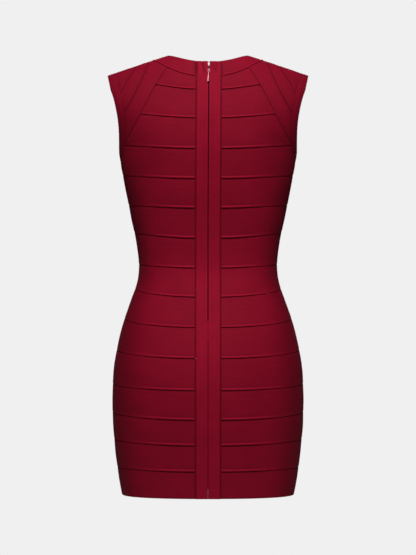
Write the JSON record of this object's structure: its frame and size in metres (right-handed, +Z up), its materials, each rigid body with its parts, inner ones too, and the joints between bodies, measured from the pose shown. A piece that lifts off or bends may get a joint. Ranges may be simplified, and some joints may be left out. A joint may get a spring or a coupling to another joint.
{
  "type": "bodycon dress",
  "caption": "Sleeveless bodycon mini dress of wide knitted bands, with a back zip, raglan shoulder bands and a round neck.",
  "frame": {"origin": "midway between the shoulders, at the height where they carry the dress", "axes": "+Z up along the worn dress, +Y the way the wearer faces, +X to the wearer's right"},
  "size_m": [0.3638, 0.2482, 0.7938],
  "materials": {
    "band_knit": "dense ribbed bandage knit with a soft satin sheen",
    "zip_tape": "matt woven tape",
    "zip_metal": "pale rose enamel"
  },
  "bodies": {
    "dress": {"back_band_01_left": "band_knit", "back_band_01_right": "band_knit", "back_band_02_left": "band_knit", "back_band_02_right": "band_knit", "back_band_03_left": "band_knit", "back_band_03_right": "band_knit", "back_band_04_left": "band_knit", "back_band_04_right": "band_knit", "back_band_05_left": "band_knit", "back_band_05_right": "band_knit", "back_band_06_left": "band_knit", "back_band_06_right": "band_knit", "back_band_07_left": "band_knit", "back_band_07_right": "band_knit", "back_band_08_left": "band_knit", "back_band_08_right": "band_knit", "back_band_09_left": "band_knit", "back_band_09_right": "band_knit", "back_band_10_left": "band_knit", "back_band_10_right": "band_knit", "back_band_11_left": "band_knit", "back_band_11_right": "band_knit", "back_band_12_left": "band_knit", "back_band_12_right": "band_knit", "back_band_13_left": "band_knit", "back_band_13_right": "band_knit", "back_band_14_left": "band_knit", "back_band_14_right": "band_knit", "back_band_15_left": "band_knit", "back_band_15_right": "band_knit", "front_band_03": "band_knit", "front_band_04": "band_knit", "front_band_05": "band_knit", "front_band_06": "band_knit", "front_band_07": "band_knit", "front_band_08": "band_knit", "front_band_09": "band_knit", "front_band_10": "band_knit", "front_band_11": "band_knit", "front_band_12": "band_knit", "front_band_13": "band_knit", "front_band_14": "band_knit", "front_band_15": "band_knit", "front_yoke_left": "band_knit", "front_yoke_right": "band_knit", "centre_strip_left": "band_knit", "centre_strip_right": "band_knit", "shoulder_band_inner_left": "band_knit", "shoulder_band_inner_right": "band_knit", "shoulder_band_middle_left": "band_knit", "shoulder_band_middle_right": "band_knit", "shoulder_band_outer_left": "band_knit", "shoulder_band_outer_right": "band_knit", "armhole_band_left": "band_knit", "armhole_band_right": "band_knit", "neckband": "band_knit", "zip_tape_left": "zip_tape", "zip_tape_right": "zip_tape", "zip_slider": "zip_metal"},
    "zip_pull": {"zip_pull": "zip_metal"}
  },
  "joints": [
    {"name": "pull_hinge", "type": "hinge", "parent": "dress", "child": "zip_pull", "pos_m": [0, -0.06447, -0.01557], "axis": [-1, 0, 0], "range_deg": [0, 170]}
  ]
}
